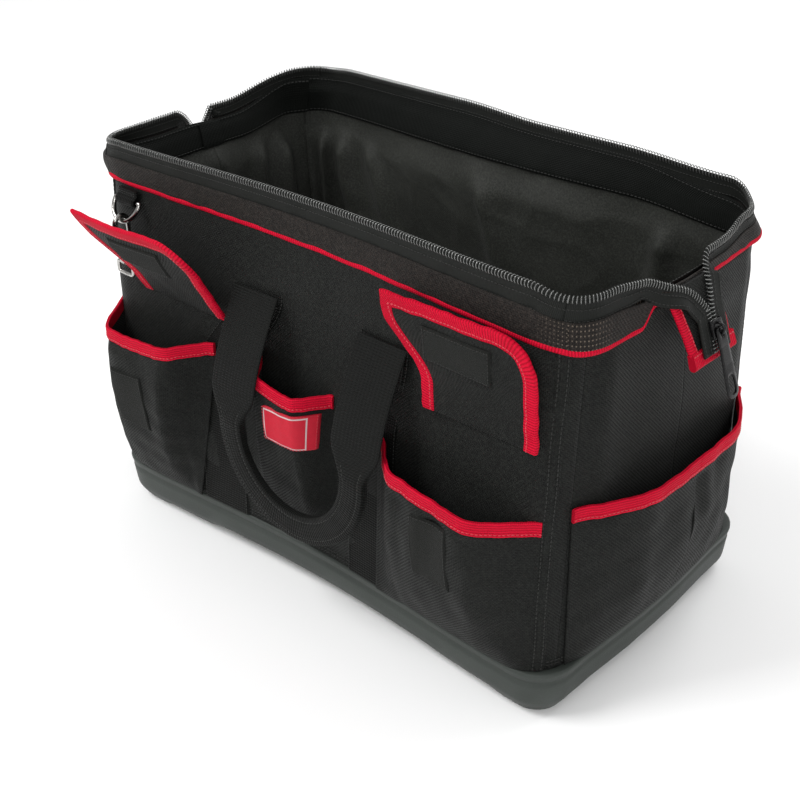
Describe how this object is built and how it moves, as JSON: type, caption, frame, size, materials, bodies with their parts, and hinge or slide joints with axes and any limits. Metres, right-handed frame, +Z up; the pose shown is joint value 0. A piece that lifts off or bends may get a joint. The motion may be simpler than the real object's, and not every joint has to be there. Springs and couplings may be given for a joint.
{
  "type": "tool bag",
  "caption": "Open-mouthed cloth tool bag on a moulded tray, with a zipped mouth, bound outer pockets with flaps, webbing carry handles, D-rings and a snap hook.",
  "frame": {"origin": "on the ground, under the middle of the tray", "axes": "+X along the bag to the end with the zip's tab, -Y out of the front, which has the flapped pockets, +Z up"},
  "size_m": [0.555, 0.3326, 0.3297],
  "materials": {
    "tray_plastic": "grained moulded plastic",
    "board": "stiff sheet",
    "black_cloth": "coarse woven polyester",
    "lining_cloth": "smooth lining",
    "mouth_cloth": "brownish black coarse weave",
    "red_tape": "ribbed tape",
    "zip_coil": "zip tape and coil",
    "webbing": "ribbed webbing",
    "touch_tape": "hook and loop tape",
    "label_red": "woven label, bare",
    "nickel": "bright nickel plate",
    "black_metal": "black lacquer"
  },
  "bodies": {
    "base": {"base_tray": "tray_plastic", "bottom_board": "board", "right_end_shell": "black_cloth", "right_end_lining": "lining_cloth", "right_end_pocket": "black_cloth", "right_end_pocket_binding": "red_tape", "right_end_piping": "red_tape", "right_end_mouth_panel": "mouth_cloth", "right_end_zip": "zip_coil", "left_end_shell": "black_cloth", "left_end_lining": "lining_cloth", "left_end_pocket": "black_cloth", "left_end_pocket_binding": "red_tape", "left_end_piping": "red_tape", "left_end_mouth_panel": "mouth_cloth", "left_end_zip": "zip_coil", "right_zip_tab": "black_cloth"},
    "front_wall": {"front_shell": "black_cloth", "front_stiffener": "board", "front_lining": "lining_cloth", "front_piping": "red_tape", "front_mouth_panel": "mouth_cloth", "front_zip": "zip_coil", "left_pocket": "black_cloth", "left_pocket_binding": "red_tape", "centre_pocket": "black_cloth", "centre_pocket_binding": "red_tape", "right_pocket": "black_cloth", "right_pocket_binding": "red_tape", "left_loop_patch": "touch_tape", "right_loop_patch": "touch_tape", "front_label": "label_red", "front_left_strap": "webbing", "front_right_strap": "webbing", "front_d_ring_loop": "webbing"},
    "back_wall": {"back_shell": "black_cloth", "back_stiffener": "board", "back_lining": "lining_cloth", "back_piping": "red_tape", "back_mouth_panel": "mouth_cloth", "back_zip": "zip_coil", "back_pocket": "black_cloth", "back_pocket_binding": "red_tape", "back_left_strap": "webbing", "back_right_strap": "webbing", "back_d_ring_loop": "webbing"},
    "left_flap": {"left_flap": "black_cloth", "left_flap_binding": "red_tape", "left_flap_hook_patch": "touch_tape"},
    "right_flap": {"right_flap": "black_cloth", "right_flap_binding": "red_tape", "right_flap_hook_patch": "touch_tape"},
    "front_handle": {"front_handle": "webbing"},
    "back_handle": {"back_handle": "webbing"},
    "front_d_ring": {"front_d_ring": "nickel"},
    "back_d_ring": {"back_d_ring": "nickel"},
    "snap_hook": {"snap_hook": "nickel"},
    "snap_gate": {"snap_hook_gate": "nickel"},
    "zip_slider": {"zip_slider": "black_metal"},
    "zip_pull": {"zip_pull": "black_metal"}
  },
  "joints": [
    {"name": "front_wall_lean", "type": "hinge", "parent": "base", "child": "front_wall", "pos_m": [0, -0.1131, 0.0415], "axis": [-1, 0, 0], "range_deg": [0, 20]},
    {"name": "back_wall_lean", "type": "hinge", "parent": "base", "child": "back_wall", "pos_m": [0, 0.1131, 0.0415], "axis": [1, 0, 0], "range_deg": [0, 20]},
    {"name": "left_flap_fold", "type": "hinge", "parent": "front_wall", "child": "left_flap", "pos_m": [-0.144, -0.12737, 0.216], "axis": [1, 0, 0], "range_deg": [0, 95]},
    {"name": "right_flap_fold", "type": "hinge", "parent": "front_wall", "child": "right_flap", "pos_m": [0.15, -0.12737, 0.216], "axis": [1, 0, 0], "range_deg": [0, 115]},
    {"name": "front_handle_swing", "type": "hinge", "parent": "front_wall", "child": "front_handle", "pos_m": [0, -0.1219, 0.248], "axis": [-1, 0, 0], "range_deg": [0, 110]},
    {"name": "back_handle_swing", "type": "hinge", "parent": "back_wall", "child": "back_handle", "pos_m": [0, 0.1219, 0.248], "axis": [1, 0, 0], "range_deg": [0, 110]},
    {"name": "front_d_ring_swing", "type": "hinge", "parent": "front_wall", "child": "front_d_ring", "pos_m": [-0.19, -0.12649, 0.2852], "axis": [-1, 0, 0], "range_deg": [0, 3]},
    {"name": "back_d_ring_swing", "type": "hinge", "parent": "back_wall", "child": "back_d_ring", "pos_m": [0.19, 0.12649, 0.2852], "axis": [1, 0, 0], "range_deg": [0, 100]},
    {"name": "snap_hook_swing", "type": "hinge", "parent": "front_d_ring", "child": "snap_hook", "pos_m": [-0.19, -0.13489, 0.27065], "axis": [0, 1, 0], "range_deg": [-4, 12]},
    {"name": "snap_gate_swing", "type": "hinge", "parent": "snap_hook", "child": "snap_gate", "pos_m": [-0.19, -0.12839, 0.25045], "axis": [1, 0, 0], "range_deg": [0, 25], "stiffness_Nm_per_rad": 0.002},
    {"name": "zip_slide", "type": "slide", "parent": "base", "child": "zip_slider", "axis": [-0.319, 0, 0.9478], "range_m": [0, 0.008]},
    {"name": "zip_pull_swing", "type": "hinge", "parent": "zip_slider", "child": "zip_pull", "pos_m": [0.2644, 0, 0.27376], "axis": [0, -1, 0], "range_deg": [0, 150]}
  ],
  "couplings": [
    {"joint": "back_wall_lean", "follows": "front_wall_lean", "ratio": 1}
  ]
}
